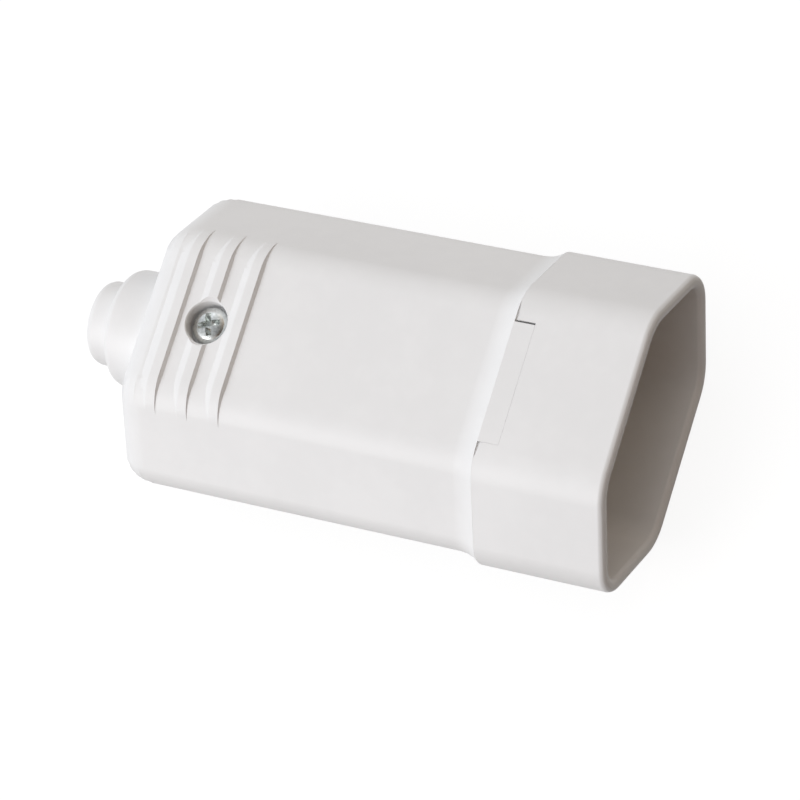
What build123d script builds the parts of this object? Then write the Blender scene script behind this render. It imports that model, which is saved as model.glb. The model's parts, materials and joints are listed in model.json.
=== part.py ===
from build123d import *
import os
from math import acos, cos, radians, sin, tan

# In-line cable socket with a hexagonal plug mouth, for a plug with three round pins.
# The mouth faces +X and the cable enters at -X. The hexagon's tips lie on +Y and -Y.
# It lies on one flat of the hexagon, with the closing screw up. All sizes are in millimetres.

# Shroud, the hexagonal sleeve around the plug
shroud_span = 40.0  # across the two rounded tips
shroud_height = 22.0  # across the flats
shroud_length = 17.0
shroud_wall = 1.75
tip_angle = 90.0
tip_radius = 4.5
corner_radius = 6.4
least_round = 0.3  # for the corners of deep inner hexagons
rim_edge = 0.45
rim_lead = 0.45
recess_depth = 10.0
face_thickness = 2.6

# Plug pins that the socket takes
pin_diameter = 4.0
pin_length = 19.0
pin_distance = 9.5  # of the line and neutral pins from the axis
earth_distance = 3.0
pin_hole_play = 0.2
pin_hole_lead = 0.4
pin_end_room = 1.0

# Casing, the two half shells behind the shroud
casing_length = 50.03
casing_step = 1.05  # how far the casing lies inside the shroud's surface
casing_wall = 2.0
rear_run = 4.2  # rounding of the rear edge, along the axis
rear_drop = 3.3  # and across it
rear_runs = 3
collar_round = 5.0  # hollow curve from the casing up to the shroud's surface
collar_runs = 3
collar_land = 0.05
seam_gap = 0.01
spigot_play = 0.1
spigot_end_gap = 0.3

# Tabs of the casing in notches of the shroud's rear edge
tab_place = -0.35  # of the tab's middle along Y
tab_width = 15.2
tab_length = 2.7
tab_play = 0.02  # in front of the tab and at its -Y side
tab_slack = 0.26  # at its +Y side
relief_sink = 0.25  # shallow wedge beside each end of a notch
relief_depth = 0.6
relief_length = 2.8

# Grip ribs across both flats of the casing
rib_count = 3
rib_pitch = 4.45
rib_height = 0.5
rib_ramp_length = 1.1
rib_crest_length = 1.3
rib_drop_length = 0.3
rib_straight = 15.2  # length of a rib before its ends bend down
rib_end_round = 5.85
rib_end_turn = 60.0
first_rib = 6.25  # from the casing's rear end to the first crest

# Cable neck
neck_collar_radius = 7.5
neck_collar_length = 5.3
neck_tip_radius = 5.4
neck_tip_length = 3.8
neck_round = 0.8
neck_round_runs = 2
cord_radius = 4.1
grip_ring_height = 0.6
grip_ring_width = 1.4

# Locating lip along the parting of the halves
lip_thickness = 0.8
lip_height = 1.0
lip_play = 0.1

# Inner ribs that hold the socket front
flange_thickness = 1.6
flange_play = 0.15
holder_height = 1.4
inner_wall = 1.4
barrier_wall = 1.2
parting_play = 0.2

# Contacts and their terminals
receiver_wall = 0.8
receiver_play = 0.2
receiver_slit = 0.8
receiver_slit_length = 11.0
receiver_front_gap = 0.3
tube_wall = 1.3
tube_web = 2.0
tube_play = 0.2
terminal_length = 8.0
terminal_width = 6.0
terminal_height = 5.6
terminal_edge = 0.3
wire_radius = 1.5
wire_floor = 1.5
wire_play = 0.4
terminal_play = 0.2

# Terminal screws
clamp_thread = 3.0
clamp_length = 3.2
clamp_head = 4.8
clamp_head_height = 1.7
clamp_slot_width = 0.7
clamp_slot_depth = 0.8
thread_play = 0.05

# Closing screw
screw_place = 10.0  # from the casing's rear end
screw_thread = 2.9
screw_length = 14.0
screw_head = 4.9
screw_head_height = 1.7
screw_head_edge = 0.6
screw_sink = 0.55  # from the casing's surface to the top of the head
screw_recess = 5.55
screw_recess_edge = 0.4
screw_hole_play = 0.25
screw_end_room = 0.8
cross_width = 0.85
cross_length = 2.9
cross_depth = 1.1
cross_turn = 20.0
boss_wall = 1.2

# Working sizes
root = 0.3  # how deep an added piece reaches into its base
near = 0.05  # within which a face is found

# Places along the axis
overall_length = shroud_length + seam_gap + casing_length + neck_collar_length + neck_tip_length
mouth_x = overall_length / 2
seam_x = mouth_x - shroud_length
casing_front_x = seam_x - seam_gap
casing_rear_x = casing_front_x - casing_length
neck_step_x = casing_rear_x - neck_collar_length
neck_end_x = neck_step_x - neck_tip_length
face_x = mouth_x - recess_depth
face_back_x = face_x - face_thickness
spigot_end_x = face_back_x - spigot_end_gap
flange_back_x = face_x - pin_length - pin_end_room
flange_front_x = flange_back_x + flange_thickness
terminal_back_x = flange_back_x - terminal_length
backstop_x = terminal_back_x - terminal_play
rear_wall_x = casing_rear_x + casing_wall
screw_x = casing_rear_x + screw_place

# Heights and radii that follow from the driving sizes
axis_z = shroud_height / 2
parting = Plane.XY.offset(axis_z)
casing_rise = axis_z - casing_step
cavity_inset = casing_step + casing_wall
spigot_inset = shroud_wall + spigot_play
half_tip = radians(tip_angle / 2)
pin_hole_radius = pin_diameter / 2 + pin_hole_play
receiver_radius = pin_diameter / 2 + receiver_wall
chamber_radius = receiver_radius + receiver_play
tube_radius = chamber_radius + tube_wall
boss_radius = screw_recess / 2 + boss_wall
contact_places = {
    "line": (pin_distance, 0),
    "neutral": (-pin_distance, 0),
    "earth": (0, -earth_distance),
}


def across(x, toward=1):
    """Plane across the axis at x, facing the mouth, or the cable where toward is -1."""
    return Plane(origin=(x, 0, axis_z), x_dir=(0, 1, 0), z_dir=(toward, 0, 0))


def hexagon(x, inset, toward=1):
    """Rounded hexagon across the axis at x, everywhere inset from the shroud's outer surface."""
    rise = shroud_height / 2 - inset
    outer_tip = shroud_span / 2 + tip_radius * (1 / sin(half_tip) - 1)
    tip = outer_tip - inset / sin(half_tip)
    corner = tip - rise / tan(half_tip)
    with BuildSketch(across(x, toward), mode=Mode.PRIVATE) as section:
        Polygon((tip, 0), (corner, rise), (-corner, rise), (-tip, 0), (-corner, -rise), (corner, -rise))
        levels = section.vertices().group_by(Axis.Y)
        fillet(levels[0] + levels[-1], radius=max(corner_radius - inset, least_round))
        sides = section.vertices().group_by(Axis.X)
        fillet(sides[0] + sides[-1], radius=max(tip_radius - inset, least_round))
    return section.sketch


def lip_ring(play):
    """Ring above the parting, in the inner part of the casing's wall, grown by play all round."""
    length = casing_front_x - rear_wall_x
    with BuildPart(mode=Mode.PRIVATE) as ring:
        extrude(hexagon(rear_wall_x, cavity_inset - lip_thickness - play), amount=length)
        extrude(hexagon(rear_wall_x, cavity_inset + play), amount=length, mode=Mode.SUBTRACT)
        split(bisect_by=parting, keep=Keep.TOP)
        split(bisect_by=parting.offset(lip_height + play), keep=Keep.BOTTOM)
    return ring.part


def eased_corner(x, radius):
    """Outer corner of the neck's profile at x, rounded in short straight runs."""
    turns = [radians(90 * run / neck_round_runs) for run in range(neck_round_runs + 1)]
    return [
        (x + neck_round * (1 - sin(turn)), axis_z + radius - neck_round * (1 - cos(turn)))
        for turn in turns
    ]


def rear_bevels():
    """Run and drop of each bevel that together round the casing's rear edge, as chords of an ellipse."""
    turns = [radians(90 * bevel / rear_runs) for bevel in range(rear_runs + 1)]
    points = [(rear_run * (1 - sin(turn)), rear_drop * (1 - cos(turn))) for turn in turns]
    for (run, drop), (next_run, next_drop) in zip(points, points[1:]):
        slope = (next_drop - drop) / (run - next_run)
        yield run + drop / slope, drop + run * slope


# Socket front: shroud, socket face, contact tubes and the flange that the casing holds
with BuildPart() as socket_front:
    extrude(hexagon(seam_x, 0), amount=shroud_length)
    chamfer(socket_front.faces().sort_by(Axis.X)[-1].edges(), length=rim_edge)
    extrude(hexagon(face_x, shroud_wall), amount=recess_depth, mode=Mode.SUBTRACT)
    chamfer(socket_front.faces().sort_by(Axis.X)[-1].inner_wires()[0].edges(), length=rim_lead)
    extrude(hexagon(seam_x, shroud_wall), amount=face_back_x - seam_x, mode=Mode.SUBTRACT)
    # notches for the tabs on both flats, and a wedge of relief beside each notch
    notch_length = tab_length + tab_play - seam_gap
    notch_y = tab_place + (tab_slack - tab_play) / 2
    with Locations((seam_x, notch_y, 0), (seam_x, notch_y, shroud_height)):
        Box(2 * notch_length, tab_width + tab_play + tab_slack, 2 * shroud_wall, mode=Mode.SUBTRACT)
    for level, sink in ((0, relief_sink), (shroud_height, -relief_sink)):
        with BuildSketch(Plane.XY.offset(level)):
            for side in (-1, 1):
                with Locations((seam_x, tab_place + side * tab_width / 2)):
                    Polygon((0, 0), (relief_depth, 0), (0, side * relief_length))
        extrude(amount=sink, mode=Mode.SUBTRACT)
    # contact tubes with a web between them, and the flange around their rear ends
    with BuildSketch(across(flange_back_x)):
        Rectangle(2 * pin_distance, tube_web)
        with Locations(*contact_places.values()):
            Circle(tube_radius)
    extrude(amount=face_back_x - flange_back_x)
    extrude(hexagon(flange_back_x, cavity_inset + flange_play), amount=flange_thickness)
    # chambers behind the socket face, and pin holes through it
    with BuildSketch(across(flange_back_x)):
        with Locations(*contact_places.values()):
            Circle(chamber_radius)
    extrude(amount=face_back_x - flange_back_x, mode=Mode.SUBTRACT)
    with BuildSketch(across(face_back_x)):
        with Locations(*contact_places.values()):
            Circle(pin_hole_radius)
    extrude(amount=face_thickness, mode=Mode.SUBTRACT)
    at_face = socket_front.faces().filter_by(Axis.X).filter_by_position(Axis.X, face_x - near, face_x + near)
    hole_edges = [edge for hole in at_face.sort_by(SortBy.AREA)[-1].inner_wires() for edge in hole.edges()]
    chamfer(hole_edges, length=pin_hole_lead)

# Grip ribs on both flats, each with a ramp towards the cable, a flat crest and a steep side
with BuildPart() as grip_ribs:
    first_crest_x = casing_rear_x + first_rib
    rib_crest = casing_rise + rib_height
    rib_foot = casing_rise - root
    ramp_run = rib_ramp_length * (rib_height + root) / rib_height
    drop_run = rib_drop_length * (rib_height + root) / rib_height
    with BuildSketch(Plane.XZ.offset(rib_straight / 2)) as profiles:
        for number in range(rib_count):
            with Locations((first_crest_x + number * rib_pitch, axis_z)):
                Polygon(
                    (-rib_crest_length - ramp_run, rib_foot),
                    (-rib_crest_length, rib_crest),
                    (0, rib_crest),
                    (drop_run, rib_foot),
                )
    extrude(amount=-rib_straight)
    bend = Axis((0, -rib_straight / 2, axis_z + rib_crest - rib_end_round), (1, 0, 0))
    revolve(profiles.sketch, axis=bend, revolution_arc=rib_end_turn)
    mirror(about=Plane.XZ)
    mirror(about=parting)

# Ribs in front of and behind the flange, with room for the contact tubes
with BuildPart() as holders:
    front_holder_x = flange_front_x + flange_play + inner_wall
    rear_holder_x = flange_back_x - flange_play
    for holder_x in (front_holder_x, rear_holder_x):
        extrude(hexagon(holder_x, cavity_inset - lip_thickness, -1), amount=inner_wall)
    extrude(
        hexagon(front_holder_x, cavity_inset + holder_height, -1),
        amount=front_holder_x - rear_holder_x + inner_wall,
        mode=Mode.SUBTRACT,
    )
    with BuildSketch(across(front_holder_x, -1)):
        with Locations(*[(y, -z) for y, z in contact_places.values()]):
            Circle(tube_radius + tube_play)
    extrude(amount=inner_wall, mode=Mode.SUBTRACT)

# Collar at the seam: a hollow curve, in short straight runs, from the casing up to the shroud's surface
with BuildPart() as collar:
    steepest = acos(1 - casing_step / collar_round)
    turns = [steepest * (1 - run / collar_runs) for run in range(collar_runs + 1)]
    for upper_turn, lower_turn in zip(turns, turns[1:]):
        rise = collar_round * (cos(lower_turn) - cos(upper_turn))
        length = collar_round * (sin(upper_turn) - sin(lower_turn))
        inset = casing_step - collar_round * (1 - cos(upper_turn))
        start = collar_land + collar_round * (sin(steepest) - sin(upper_turn))
        stretch = 1 + root / rise
        with BuildPart(mode=Mode.PRIVATE) as ring:
            extrude(hexagon(casing_front_x, inset, -1), amount=start + length * stretch)
            rear = ring.faces().sort_by(Axis.X)[0]
            chamfer(rear.edges(), length=rise * stretch, length2=length * stretch, reference=rear)
        add(ring.part)

# Casing before it is parted: hexagonal body, collar, ribs, neck, spigot and tabs, hollow inside
with BuildPart() as casing:
    extrude(hexagon(casing_rear_x, casing_step), amount=casing_length)
    for bevel_run, bevel_drop in rear_bevels():
        with BuildPart(mode=Mode.PRIVATE) as bevelled:
            extrude(hexagon(casing_rear_x, casing_step), amount=casing_length)
            rear = bevelled.faces().sort_by(Axis.X)[0]
            chamfer(rear.edges(), length=bevel_drop, length2=bevel_run, reference=rear)
        add(bevelled.part, mode=Mode.INTERSECT)
    add(collar.part)
    add(grip_ribs.part)
    # stepped neck
    with BuildSketch(Plane.XZ):
        Polygon(
            (rear_wall_x, axis_z),
            (rear_wall_x, axis_z + neck_collar_radius),
            *eased_corner(neck_step_x, neck_collar_radius),
            (neck_step_x, axis_z + neck_tip_radius),
            *eased_corner(neck_end_x, neck_tip_radius),
            (neck_end_x, axis_z),
        )
    revolve(axis=Axis((0, 0, axis_z), (1, 0, 0)))
    # spigot inside the shroud, and tabs flush with the shroud's flats
    extrude(hexagon(casing_front_x, spigot_inset), amount=spigot_end_x - casing_front_x)
    with Locations((casing_front_x, tab_place, axis_z)):
        Box(tab_length, tab_width, shroud_height, align=(Align.MIN, Align.CENTER, Align.CENTER))
    # hollow from the spigot's end to the rear wall
    extrude(hexagon(rear_wall_x, cavity_inset), amount=spigot_end_x - rear_wall_x, mode=Mode.SUBTRACT)
    add(holders.part)
    # cord passage, with a ring in the neck's collar that grips the cord
    with BuildSketch(across(neck_end_x)):
        Circle(cord_radius)
    extrude(amount=rear_wall_x - neck_end_x, mode=Mode.SUBTRACT)
    with BuildSketch(across(neck_step_x + (neck_collar_length - grip_ring_width) / 2)):
        Circle(cord_radius + root)
        Circle(cord_radius - grip_ring_height, mode=Mode.SUBTRACT)
    extrude(amount=grip_ring_width)

# Upper shell: boss, counterbore and hole for the closing screw, and the rebate for the lip
with BuildPart() as upper_shell:
    add(casing.part)
    split(bisect_by=parting, keep=Keep.TOP)
    screw_seat = casing_rise - screw_sink - screw_head_height
    with BuildSketch(parting):
        with Locations((screw_x, 0)):
            Circle(boss_radius)
    extrude(amount=casing_rise - casing_wall / 2)
    with Locations((screw_x, 0, axis_z + rib_crest)):
        CounterBoreHole(
            radius=screw_thread / 2 + screw_hole_play,
            counter_bore_radius=screw_recess / 2,
            counter_bore_depth=rib_crest - screw_seat,
            depth=rib_crest,
        )
    # the counterbore's broken edge, through the rib that it cuts
    with Locations((screw_x, 0, axis_z + rib_crest)):
        Cone(
            bottom_radius=screw_recess / 2,
            top_radius=screw_recess / 2 + screw_recess_edge,
            height=rib_height + screw_recess_edge / 2,
            align=(Align.CENTER, Align.CENTER, Align.MAX),
            mode=Mode.SUBTRACT,
        )
    add(lip_ring(lip_play), mode=Mode.SUBTRACT)

# Wall behind the terminals, with slots for the wires
with BuildPart() as backstop:
    extrude(hexagon(backstop_x, cavity_inset - lip_thickness, -1), amount=inner_wall)
    split(bisect_by=parting.offset(-parting_play), keep=Keep.BOTTOM)
    with BuildSketch(across(backstop_x)):
        for y, z in contact_places.values():
            with Locations((y, z)):
                Circle(wire_radius + wire_play)
                Rectangle(2 * (wire_radius + wire_play), axis_z, align=(Align.CENTER, Align.MIN))
    extrude(amount=-inner_wall, mode=Mode.SUBTRACT)

# Lower shell: boss with the screw's hole, the lip, the wall behind the terminals and barriers between them
with BuildPart() as lower_shell:
    add(casing.part)
    split(bisect_by=parting, keep=Keep.BOTTOM)
    add(backstop.part)
    with BuildSketch(parting.offset(-parting_play)):
        barrier_length = rear_holder_x - backstop_x
        with Locations((backstop_x + barrier_length / 2, 0)):
            with GridLocations(0, pin_distance, 1, 2):
                Rectangle(barrier_length, barrier_wall)
    extrude(amount=-(casing_rise - casing_wall / 2 - parting_play))
    with BuildSketch(parting):
        with Locations((screw_x, 0)):
            Circle(boss_radius)
    extrude(amount=-(casing_rise - casing_wall / 2))
    screw_reach = screw_length - screw_seat
    with BuildSketch(parting):
        with Locations((screw_x, 0)):
            Circle(screw_thread / 2 + thread_play)
    extrude(amount=-(screw_reach + screw_end_room), mode=Mode.SUBTRACT)
    add(lip_ring(0))

# Closing screw: cross-recess head seated in the counterbore, shank through both bosses
with BuildPart() as closing_screw:
    seat_z = axis_z + screw_seat
    with BuildSketch(Plane(origin=(screw_x, 0, seat_z), x_dir=(1, 0, 0), z_dir=(0, -1, 0))):
        Polygon(
            (0, screw_head_height),
            (screw_head / 2 - screw_head_edge, screw_head_height),
            (screw_head / 2, screw_head_height - screw_head_edge),
            (screw_head / 2, 0),
            (screw_thread / 2, 0),
            (screw_thread / 2, -screw_length),
            (0, -screw_length),
        )
    revolve(axis=Axis((screw_x, 0, 0), (0, 0, 1)))
    for turn in (cross_turn, cross_turn + 90):
        with Locations(Location((screw_x, 0, seat_z + screw_head_height), (0, 0, turn))):
            Box(cross_length, cross_width, 2 * cross_depth, mode=Mode.SUBTRACT)

os.makedirs("parts", exist_ok=True)
shells = {
    "socket_front": socket_front,
    "upper_shell": upper_shell,
    "lower_shell": lower_shell,
    "closing_screw": closing_screw,
}
for name, piece in shells.items():
    piece.part.label = name
    export_step(piece.part, f"parts/{name}.step")

# Contacts: a slit sleeve for the pin and a block with a hole for the wire and a threaded hole on top
for name, (y, z) in contact_places.items():
    terminal_top = axis_z + z + terminal_height / 2
    with BuildPart() as contact:
        with Locations((flange_back_x, y, axis_z + z)):
            Box(
                terminal_length,
                terminal_width,
                terminal_height,
                align=(Align.MAX, Align.CENTER, Align.CENTER),
            )
        chamfer(contact.edges().filter_by(Axis.X), length=terminal_edge)
        with BuildSketch(across(flange_back_x)):
            with Locations((y, z)):
                Circle(receiver_radius)
        receiver_length = face_back_x - receiver_front_gap - flange_back_x
        extrude(amount=receiver_length)
        with BuildSketch(across(flange_back_x)):
            with Locations((y, z)):
                Circle(pin_diameter / 2)
        extrude(amount=receiver_length, mode=Mode.SUBTRACT)
        with Locations((flange_back_x + receiver_length, y, axis_z + z)):
            Box(2 * receiver_slit_length, receiver_slit, 2 * chamber_radius, mode=Mode.SUBTRACT)
        with BuildSketch(across(terminal_back_x)):
            with Locations((y, z)):
                Rectangle(2 * wire_radius, 2 * wire_radius)
        extrude(amount=terminal_length - wire_floor, mode=Mode.SUBTRACT)
        with Locations((flange_back_x - terminal_length / 2, y, terminal_top)):
            Hole(radius=clamp_thread / 2 + thread_play, depth=terminal_height / 2)
    contact.part.label = f"{name}_contact"
    export_step(contact.part, f"parts/{name}_contact.step")

    with BuildPart() as clamp_screw:
        with Locations((flange_back_x - terminal_length / 2, y, terminal_top)):
            Cylinder(clamp_head / 2, clamp_head_height, align=(Align.CENTER, Align.CENTER, Align.MIN))
            Cylinder(clamp_thread / 2, clamp_length, align=(Align.CENTER, Align.CENTER, Align.MAX))
        with Locations((flange_back_x - terminal_length / 2, y, terminal_top + clamp_head_height)):
            Box(clamp_slot_width, clamp_head, 2 * clamp_slot_depth, mode=Mode.SUBTRACT)
    clamp_screw.part.label = f"{name}_terminal_screw"
    export_step(clamp_screw.part, f"parts/{name}_terminal_screw.step")
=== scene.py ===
import json
from math import cos, pi, radians, sin, sqrt

import bmesh
import bpy
from mathutils import Matrix, Quaternion, Vector


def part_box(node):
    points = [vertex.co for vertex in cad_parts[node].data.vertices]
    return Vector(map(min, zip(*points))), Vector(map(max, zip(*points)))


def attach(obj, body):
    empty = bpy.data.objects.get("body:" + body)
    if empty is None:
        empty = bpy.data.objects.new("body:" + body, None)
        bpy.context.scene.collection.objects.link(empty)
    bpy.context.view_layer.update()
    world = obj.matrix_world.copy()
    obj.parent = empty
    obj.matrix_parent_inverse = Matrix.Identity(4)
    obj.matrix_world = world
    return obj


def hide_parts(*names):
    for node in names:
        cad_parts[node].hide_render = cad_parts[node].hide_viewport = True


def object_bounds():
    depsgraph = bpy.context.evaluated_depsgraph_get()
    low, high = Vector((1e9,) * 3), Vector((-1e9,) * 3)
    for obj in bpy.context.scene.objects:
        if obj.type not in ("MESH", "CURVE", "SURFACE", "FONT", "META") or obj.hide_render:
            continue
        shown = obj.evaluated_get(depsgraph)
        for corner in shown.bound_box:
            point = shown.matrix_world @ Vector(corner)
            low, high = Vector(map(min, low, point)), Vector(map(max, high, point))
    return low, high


# In-line cable socket: white moulded plastic, a zinc-plated closing screw, brass inside
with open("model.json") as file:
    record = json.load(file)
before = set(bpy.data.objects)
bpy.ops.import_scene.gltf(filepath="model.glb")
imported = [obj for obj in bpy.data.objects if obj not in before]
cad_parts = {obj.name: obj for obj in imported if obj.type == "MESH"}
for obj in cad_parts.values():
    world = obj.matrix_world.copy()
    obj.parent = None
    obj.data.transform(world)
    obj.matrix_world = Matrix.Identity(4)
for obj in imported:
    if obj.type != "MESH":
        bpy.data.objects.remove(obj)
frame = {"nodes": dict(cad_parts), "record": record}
cad_low, cad_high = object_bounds()
nodes = frame["nodes"]
mm = 0.001
micron = 0.000001

# Mouldings, the dressed copies of the three plastic solids, with lengths in millimetres
axis_height = (cad_low.z + cad_high.z) / 2
mouth_end = cad_high.x
flat_angle = radians(0.2)  # below which triangles are one flat face
soft_angle = radians(23)  # below which an edge shades as a rounding
edge_angle = radians(20)  # above which an edge can be broken
break_segments = 3
rim_depth = 0.6  # of the mouth's edge, along the axis
rim_break = 0.3
neck_length = 9.1
neck_break = 0.2
upright_limit = 0.5  # of a normal's height, below which a face counts as upright
parting_break = 0.09
ramp_angle = radians(24.4)  # between a grip rib's ramp and its crest
ramp_angle_play = radians(1.5)
ramp_reach = 11.3  # of the broken edge to either side
ramp_break = 0.35

# Rounding of the casing's rear edge, a quarter of an ellipse that the solid has in three runs
rear_end = cad_low.x + neck_length * mm
rear_run = 4.2  # along the axis
rear_drop = 3.3  # and across it
rear_turns = (0, 30, 60)  # ends of the two runs that are cut; the third, beside the rear face, stays
rear_soft = radians(35)  # below which its edges shade as a rounding
rear_soft_run = 3.2  # along the axis from the rear end, where that holds
least_slope = 0.05  # of a normal towards the rear, on a face of this rounding
greatest_slope = 0.98

# Closing screw, in millimetres from the seat of its head
screw_low, screw_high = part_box("closing_screw")
head_height = 1.7
head_radius = 2.45
head_edge = 0.45  # upright edge below the dome
head_fullness = 0.8
head_steps = 64
dome_points = 10
seat = Vector((
    (screw_low.x + screw_high.x) / 2,
    (screw_low.y + screw_high.y) / 2,
    screw_high.z - head_height * mm,
))
shank_length = (seat.z - screw_low.z) / mm
plain_length = 2.0
point_length = 1.6
point_radius = 0.35
thread_radius = 1.42
core_radius = 1.1
thread_pitch = 1.1
thread_crest = 0.33  # height of the ridge's crest in its section
thread_foot = 0.66  # and of its upper foot
thread_steps = 24
recess_turn = radians(20)
recess_reach = 1.6
recess_width = 0.8
recess_depth = 1.25
recess_taper = 0.5
blade_stretch = 1.02  # of a blade's height, so that it passes through the top of the head


class Value:
    """A shader socket that takes part in Python expressions: each operation adds one Math node."""

    def __init__(self, finish, socket):
        self.finish = finish
        self.socket = socket

    def maths(self, operation, first, second):
        return self.finish.node("ShaderNodeMath", {"operation": operation}, {0: first, 1: second})

    def __add__(self, other):
        return self.maths("ADD", self, other)

    def __radd__(self, other):
        return self.maths("ADD", other, self)

    def __sub__(self, other):
        return self.maths("SUBTRACT", self, other)

    def __rsub__(self, other):
        return self.maths("SUBTRACT", other, self)

    def __mul__(self, other):
        return self.maths("MULTIPLY", self, other)

    def __rmul__(self, other):
        return self.maths("MULTIPLY", other, self)

    def greatest(self, other):
        return self.maths("MAXIMUM", self, other)

    def power(self, exponent):
        return self.maths("POWER", self, exponent)

    def between(self, low, high):
        """0 below low, 1 above high, and a smooth rise between them."""
        return self.finish.node(
            "ShaderNodeMapRange",
            {"interpolation_type": "SMOOTHSTEP"},
            {"Value": self, "From Min": low, "From Max": high},
        )


class Finish:
    """A node tree, of a material or of the world, built from expressions."""

    def __init__(self, owner):
        owner.use_nodes = True
        self.owner = owner
        self.tree = owner.node_tree
        self.tree.nodes.clear()

    def node(self, kind, settings=None, inputs=None, output=0):
        made = self.tree.nodes.new(kind)
        for name, setting in (settings or {}).items():
            setattr(made, name, setting)
        for name, value in (inputs or {}).items():
            if isinstance(value, Value):
                self.tree.links.new(value.socket, made.inputs[name])
            else:
                made.inputs[name].default_value = value
        return Value(self, made.outputs[output])

    def place(self):
        return self.node("ShaderNodeTexCoord", output="Object")

    def noise(self, place, size, detail=2.0):
        """Cloudy noise whose patches are about size millimetres wide, mostly between 0.3 and 0.7."""
        return self.node(
            "ShaderNodeTexNoise",
            {"noise_dimensions": "3D"},
            {"Vector": place, "Scale": 1 / (size * mm), "Detail": detail},
        )

    def blend(self, share, first, second):
        """Colour that goes from first to second as share goes from 0 to 1."""
        return self.node(
            "ShaderNodeMix",
            {"data_type": "RGBA"},
            {"Factor": share, "A": colour(first), "B": colour(second)},
            "Result",
        )

    def bump(self, height):
        """Normal for a relief whose height is in metres."""
        return self.node("ShaderNodeBump", {}, {"Height": height, "Distance": 1.0, "Strength": 1.0})

    def rays(self, *kinds):
        """1 for a ray of one of these kinds, 0 for any other."""
        path = self.tree.nodes.new("ShaderNodeLightPath")
        found = Value(self, path.outputs[kinds[0]])
        for kind in kinds[1:]:
            found = found.greatest(Value(self, path.outputs[kind]))
        return found

    def surface(self, shader, kind="ShaderNodeOutputMaterial"):
        end = self.tree.nodes.new(kind)
        self.tree.links.new(shader.socket, end.inputs["Surface"])


def colour(value):
    return value if isinstance(value, Value) else (*value, 1)


def finish(name):
    return Finish(bpy.data.materials.new(name))


def white_plastic():
    """Satin white moulding: fine die grain, faint sink waviness and a slightly uneven tone."""
    look = finish("white_plastic")
    place = look.place()
    cloud = look.noise(place, 14, 3)
    mottle = look.noise(place, 2.2, 2)
    grain = look.noise(place, 0.22, 2)
    tone = (cloud * 0.7 + mottle * 0.3).between(0.35, 0.65)
    shine = look.node(
        "ShaderNodeBsdfPrincipled",
        {},
        {
            "Base Color": look.blend(tone, (0.785, 0.784, 0.789), (0.812, 0.811, 0.816)),
            "Roughness": 0.36 + mottle * 0.1 + grain * 0.06,
            "IOR": 1.49,
            "Normal": look.bump(grain * (2.2 * micron) + cloud * (16 * micron)),
        },
    )
    look.surface(shine)
    return look.owner


def zinc_plating():
    """Bright zinc: cool grey metal, spangled a little."""
    look = finish("zinc_plating")
    place = look.place()
    spangle = look.noise(place, 0.35, 3)
    grain = look.noise(place, 0.05, 2)
    shine = look.node(
        "ShaderNodeBsdfPrincipled",
        {},
        {
            "Base Color": look.blend(spangle.between(0.3, 0.7), (0.66, 0.68, 0.67), (0.84, 0.86, 0.85)),
            "Metallic": 1.0,
            "Roughness": 0.12 + spangle * 0.16,
            "Normal": look.bump(grain * (1.2 * micron) + spangle * (4 * micron)),
        },
    )
    look.surface(shine)
    return look.owner


def stamped_brass():
    """Brass strip: warm, a little tarnished, with fine rolling marks along its length."""
    look = finish("stamped_brass")
    place = look.place()
    tarnish = look.noise(place, 3.0, 4)
    stretched = look.node("ShaderNodeMapping", {}, {"Vector": place, "Scale": (0.08, 1, 1)})
    rolling = look.noise(stretched, 0.08, 2)
    shine = look.node(
        "ShaderNodeBsdfPrincipled",
        {},
        {
            "Base Color": look.blend(tarnish.between(0.35, 0.7), (0.80, 0.61, 0.29), (0.56, 0.39, 0.18)),
            "Metallic": 1.0,
            "Roughness": 0.24 + tarnish * 0.2,
            "Normal": look.bump(rolling * (2 * micron)),
        },
    )
    look.surface(shine)
    return look.owner


finishes = {
    "shell_plastic": white_plastic(),
    "zinc_steel": zinc_plating(),
    "brass": stamped_brass(),
}
for subpart in frame["record"]["subparts"]:
    nodes[subpart["node"]].material_slots[0].material = finishes[subpart["material_slot"]]


def scene_object(name, bm, material):
    """Object with its place in its mesh, smooth but for the edges that are marked sharp."""
    mesh = bpy.data.meshes.new(name)
    bm.to_mesh(mesh)
    bm.free()
    mesh.materials.clear()
    mesh.materials.append(material)
    mesh.shade_smooth()
    made = bpy.data.objects.new(name, mesh)
    bpy.context.scene.collection.objects.link(made)
    return made


def stand_in(name, bm, slot, node):
    """Piece of the part that rides on its one rigid body and is shown in place of a node."""
    made = scene_object(name, bm, finishes[slot])
    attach(made, "root")
    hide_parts(node)
    return made


def mark_sharp(bm):
    """Marks the edges that stay crisp; the rear rounding is coarser than others, so its limit is higher."""
    for edge in bm.edges:
        at_rear = all(vert.co.x < rear_end + rear_soft_run * mm for vert in edge.verts)
        edge.smooth = edge.calc_face_angle(pi) < (rear_soft if at_rear else soft_angle)


def break_edges(bm, edges, width):
    """Rounds edges over by a width in millimetres."""
    bmesh.ops.bevel(
        bm,
        geom=edges,
        offset=width * mm,
        affect="EDGES",
        segments=break_segments,
        profile=0.5,
        material=-1,
        clamp_overlap=True,
    )


def is_rim_edge(edge):
    """Edge of the mouth's bevels, inside or outside."""
    near_mouth = all(vert.co.x > mouth_end - rim_depth * mm for vert in edge.verts)
    return near_mouth and edge.calc_face_angle() > edge_angle


def is_parting_edge(edge):
    """Outer edge of a half shell where the halves meet."""
    if any(abs(vert.co.z - axis_height) > micron for vert in edge.verts):
        return False
    middle = (edge.verts[0].co + edge.verts[1].co) / 2
    return any(
        abs(face.normal.z) < upright_limit and face.normal.y * middle.y > 0 for face in edge.link_faces
    )


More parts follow.
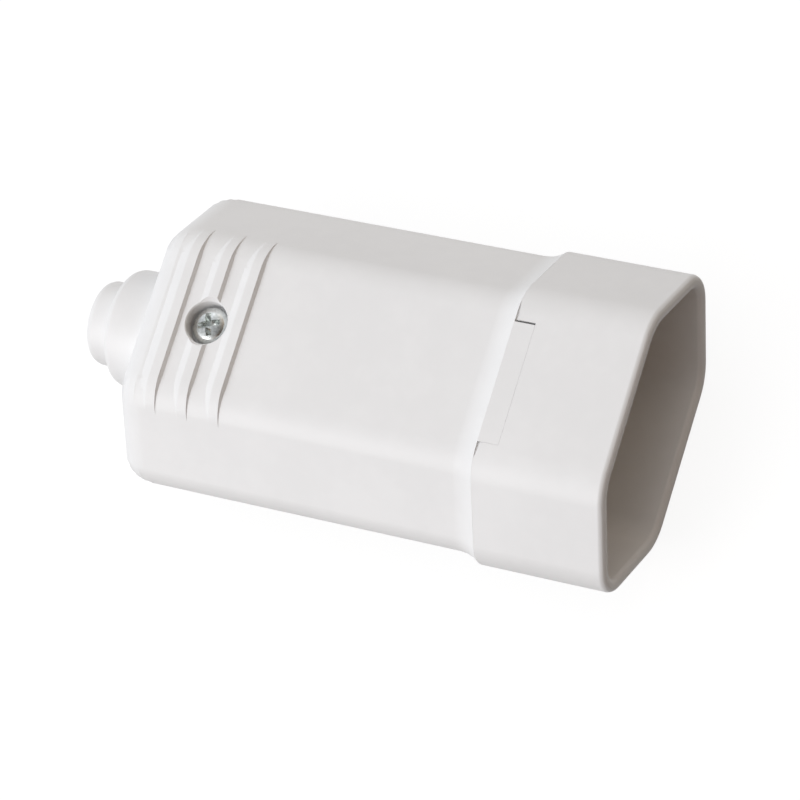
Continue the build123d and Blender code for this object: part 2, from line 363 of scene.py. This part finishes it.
def is_ramp_edge(edge):
    """Edge between a grip rib's ramp and its crest, but for its sinking ends."""
    first, second = (vert.co for vert in edge.verts)
    along_rib = abs(first.x - second.x) < micron and max(abs(first.y), abs(second.y)) < ramp_reach * mm
    at_crest = edge.is_convex and abs(edge.calc_face_angle() - ramp_angle) < ramp_angle_play
    return along_rib and at_crest


def is_neck_edge(edge):
    """Edge of the neck's roundings, on the outside of a half shell."""
    first, second = (vert.co for vert in edge.verts)
    outward = (first + second) / 2 - Vector((0, 0, axis_height))
    outward.x = 0
    outside = all(face.normal.dot(outward) > -micron for face in edge.link_faces)
    along_ring = abs(first.x - second.x) < micron and first.x < rear_end - micron
    return along_ring and outside and edge.is_convex and edge.calc_face_angle() > edge_angle


def rear_place(turn):
    """Place along the axis and drop below the casing's surface, at a turn of the rear rounding."""
    return rear_run * (1 - sin(turn)), rear_drop * (1 - cos(turn))


def round_rear(bm):
    """Cuts each run of the rear rounding in two and lifts the cut onto the ellipse."""
    for start, end in zip(rear_turns, rear_turns[1:]):
        start_place, start_drop = rear_place(radians(start))
        end_place, end_drop = rear_place(radians(end))
        place, drop = rear_place(radians((start + end) / 2))
        share = (place - start_place) / (end_place - start_place)
        lift = start_drop + (end_drop - start_drop) * share - drop
        cut = bmesh.ops.bisect_plane(
            bm,
            geom=[*bm.verts, *bm.edges, *bm.faces],
            dist=micron,
            plane_co=(rear_end + place * mm, 0, 0),
            plane_no=(1, 0, 0),
        )
        for vert in cut["geom_cut"]:
            if isinstance(vert, bmesh.types.BMVert):
                lift_vert(vert, lift)


def lift_vert(vert, lift):
    """Moves a vertex of the rear rounding outwards, square to the axis; others stay."""
    outward = Vector()
    for face in vert.link_faces:
        if least_slope < -face.normal.x < greatest_slope:
            outward += face.normal
    outward.x = 0
    if abs(vert.co.z - axis_height) < micron:
        outward.z = 0
    if outward.dot(vert.co - Vector((0, 0, axis_height))) > 0:
        vert.co += outward.normalized() * lift * mm


def moulding(node, breaks, has_rear=False):
    """Copy of a moulded solid, joined at its corners, with some edges broken and its roundings smooth."""
    bm = bmesh.new()
    bm.from_mesh(nodes[node].data)
    bmesh.ops.remove_doubles(bm, verts=bm.verts, dist=micron)
    bmesh.ops.dissolve_limit(bm, angle_limit=flat_angle, verts=bm.verts, edges=bm.edges)
    if has_rear:
        round_rear(bm)
    for wanted, width in breaks.items():
        break_edges(bm, [edge for edge in bm.edges if wanted(edge)], width)
    mark_sharp(bm)
    made = stand_in(f"{node}_moulding", bm, "shell_plastic", node)
    made.data.attributes.remove(made.data.attributes["custom_normal"])
    weighted = made.modifiers.new("soft_edges", "WEIGHTED_NORMAL")
    weighted.keep_sharp = True


shell_breaks = {is_neck_edge: neck_break, is_ramp_edge: ramp_break, is_parting_edge: parting_break}
moulding("socket_front", {is_rim_edge: rim_break})
moulding("upper_shell", shell_breaks, has_rear=True)
moulding("lower_shell", shell_breaks, has_rear=True)


def turned(bm, profile, steps):
    """Solid turned about the screw's axis, from points of radius and height that begin and end on it."""
    verts = [bm.verts.new(seat + Vector((radius, 0, height)) * mm) for radius, height in profile]
    edges = [bm.edges.new(pair) for pair in zip(verts, verts[1:])]
    bmesh.ops.spin(
        bm, geom=verts + edges, cent=seat, axis=(0, 0, 1), angle=2 * pi, steps=steps, use_merge=True
    )


def screw_body():
    """Pan head, plain neck and pointed core, without the recess and the thread."""
    bm = bmesh.new()
    turns = [radians(90 * point / (dome_points - 1)) for point in range(dome_points)]
    dome = head_height - head_edge
    head = [
        (head_radius * sin(turn) ** head_fullness, head_edge + dome * cos(turn) ** head_fullness)
        for turn in turns
    ]
    shank = [
        (head_radius, 0),
        (thread_radius, 0),
        (thread_radius, -plain_length),
        (core_radius, -plain_length),
        (core_radius, point_length - shank_length),
        (point_radius, -shank_length),
        (0, -shank_length),
    ]
    turned(bm, head + shank, head_steps)
    bmesh.ops.remove_doubles(bm, verts=bm.verts, dist=micron)
    bmesh.ops.recalc_face_normals(bm, faces=bm.faces)
    return bm


def thread_ridge(bm):
    """Triangular ridge wound round the core, from the plain neck to the point."""
    lowest = point_length - shank_length
    section = [(core_radius, 0), (thread_radius, thread_crest), (core_radius, thread_foot)]
    places = [seat + Vector((radius, 0, lowest + height)) * mm for radius, height in section]
    face = bm.faces.new([bm.verts.new(place) for place in places])
    wound = int((-plain_length - lowest) / thread_pitch * thread_steps) - thread_steps
    bmesh.ops.spin(
        bm,
        geom=[face, *face.edges, *face.verts],
        cent=seat,
        axis=(0, 0, 1),
        dvec=(0, 0, thread_pitch * mm / thread_steps),
        angle=2 * pi * wound / thread_steps,
        steps=wound,
    )


def recess_blade(turn):
    """Tapered blade that cuts one arm of the cross recess."""
    place = Matrix.Translation(seat + Vector((0, 0, head_height - recess_depth / 2)) * mm)
    height = recess_depth * blade_stretch
    size = Matrix.Diagonal((recess_reach * mm, recess_width / 2 * mm, height * mm, 1))
    bm = bmesh.new()
    bmesh.ops.create_cone(
        bm,
        cap_ends=True,
        segments=4,
        radius1=sqrt(2) * recess_taper,
        radius2=sqrt(2),
        depth=1,
        matrix=place @ Matrix.Rotation(turn, 4, "Z") @ size @ Matrix.Rotation(pi / 4, 4, "Z"),
    )
    return scene_object("recess_blade", bm, finishes["zinc_steel"])


def closing_screw():
    """Cross-recess screw: the head is cut by two blades, then the thread is added."""
    blank = scene_object("screw_blank", screw_body(), finishes["zinc_steel"])
    blades = [recess_blade(recess_turn), recess_blade(recess_turn + pi / 2)]
    for blade in blades:
        cut = blank.modifiers.new("recess", "BOOLEAN")
        cut.operation = "DIFFERENCE"
        cut.solver = "EXACT"
        cut.object = blade
    bpy.context.view_layer.update()
    bm = bmesh.new()
    bm.from_object(blank, bpy.context.evaluated_depsgraph_get())
    for spent in (blank, *blades):
        bpy.data.objects.remove(spent)
    thread_ridge(bm)
    bmesh.ops.recalc_face_normals(bm, faces=bm.faces)
    mark_sharp(bm)
    stand_in("cross_recess_screw", bm, "zinc_steel", "closing_screw")


closing_screw()

# Floor, white to the camera and to gloss but for a soft shadow, and grey as a source of light
floor_share = 0.16  # of lit surface in what is seen, beside the glow
floor_glow = 1.06
floor_grey = 0.12
floor_reach = 3.0  # in metres, to each side
floor_gap = 0.02  # below the part, in millimetres


def studio_floor():
    """Glow that takes a faint shadow where it is seen, and plain grey for other rays."""
    look = finish("studio_floor")
    seen = look.rays("Is Camera Ray", "Is Glossy Ray", "Is Transmission Ray")
    lit = look.node("ShaderNodeBsdfDiffuse", {}, {"Color": (1, 1, 1, 1)})
    glow = look.node("ShaderNodeEmission", {}, {"Color": (1, 1, 1, 1), "Strength": floor_glow})
    grey = look.node("ShaderNodeBsdfDiffuse", {}, {"Color": (floor_grey, floor_grey, floor_grey, 1)})
    pale = look.node("ShaderNodeMixShader", {}, {0: floor_share, 1: glow, 2: lit})
    look.surface(look.node("ShaderNodeMixShader", {}, {0: seen, 1: grey, 2: pale}))
    return look.owner


floor_mesh = bmesh.new()
bmesh.ops.create_grid(floor_mesh, x_segments=1, y_segments=1, size=floor_reach)
bmesh.ops.translate(floor_mesh, verts=floor_mesh.verts, vec=(0, 0, -floor_gap * mm))
scene_object("floor", floor_mesh, studio_floor())

# World: soft boxes, each as a direction, its light, and the share of it that gloss mirrors
soft_boxes = {
    "above": ((-0.36, 0.00, 0.93), (1.19, 1.21, 1.24), 0.28),
    "near side": ((-0.45, -0.82, 0.34), (1.47, 1.49, 1.52), 1.25),
    "far side": ((-0.46, 0.82, 0.34), (1.15, 1.20, 1.25), 1.0),
    "near side of the mouth": ((0.47, -0.81, 0.34), (0.17, 0.07, 0.00), 1.0),
    "far side of the mouth": ((0.47, 0.81, 0.34), (0.69, 0.55, 0.41), 1.0),
}
box_narrowness = 4
backdrop_top = 0.15  # height up to which gloss shows the white backdrop


def studio():
    """World that is white to the camera and lights the part by the soft boxes."""
    world = bpy.data.worlds.new("studio")
    bpy.context.scene.world = world
    sky = Finish(world)
    direction = sky.node("ShaderNodeTexCoord", output="Generated")
    gloss = sky.rays("Is Glossy Ray", "Is Transmission Ray")
    lighting = None
    for side, tint, mirrored_share in soft_boxes.values():
        facing = sky.node(
            "ShaderNodeVectorMath", {"operation": "DOT_PRODUCT"}, {0: direction, 1: side}, "Value"
        )
        glow = facing.greatest(0.0).power(box_narrowness) * (1.0 + gloss * (mirrored_share - 1))
        box = sky.node("ShaderNodeBackground", {}, {"Color": (*tint, 1), "Strength": glow})
        if lighting is None:
            lighting = box
        else:
            lighting = sky.node("ShaderNodeAddShader", {}, {0: lighting, 1: box})
    height = sky.node("ShaderNodeSeparateXYZ", {}, {"Vector": direction}, "Z")
    mirrored = gloss * (1.0 - height.between(0.0, backdrop_top))
    seen = sky.rays("Is Camera Ray").greatest(mirrored)
    white = sky.node("ShaderNodeBackground", {}, {"Color": (1, 1, 1, 1), "Strength": 1.0})
    shown = sky.node("ShaderNodeMixShader", {}, {0: seen, 1: lighting, 2: white})
    sky.surface(shown, "ShaderNodeOutputWorld")


studio()

# Key lamp: near, so that the light falls off towards the mouth
key_side = Vector((-0.42, -0.68, 0.60)).normalized()
key_distance = 0.4  # in metres
key = bpy.data.lights.new("key", "AREA")
key.shape = "DISK"
key.size = 0.25
key.energy = 0.45
key_holder = bpy.data.objects.new("key", key)
bpy.context.scene.collection.objects.link(key_holder)
key_holder.location = key_side * key_distance
key_holder.rotation_mode = "QUATERNION"
key_holder.rotation_quaternion = (-key_side).to_track_quat("-Z", "Y")

# Camera, at the photograph's viewing angle
camera_place = Vector((210.62, -107.98, 441.08)) * mm
camera_aim = Vector((3.531, -1.747, 8.864)) * mm
camera_roll = radians(-48.2)
camera_data = bpy.data.cameras.new("camera")
camera_data.lens = 180
camera_data.sensor_width = 36
camera_data.clip_start = 0.01
camera_data.clip_end = 20
camera = bpy.data.objects.new("camera", camera_data)
bpy.context.scene.collection.objects.link(camera)
camera.location = camera_place
camera.rotation_mode = "QUATERNION"
aimed = (camera_aim - camera_place).to_track_quat("-Z", "Y")
camera.rotation_quaternion = aimed @ Quaternion((0, 0, 1), camera_roll)
bpy.context.scene.camera = camera
bpy.context.scene.view_settings.view_transform = "Standard"
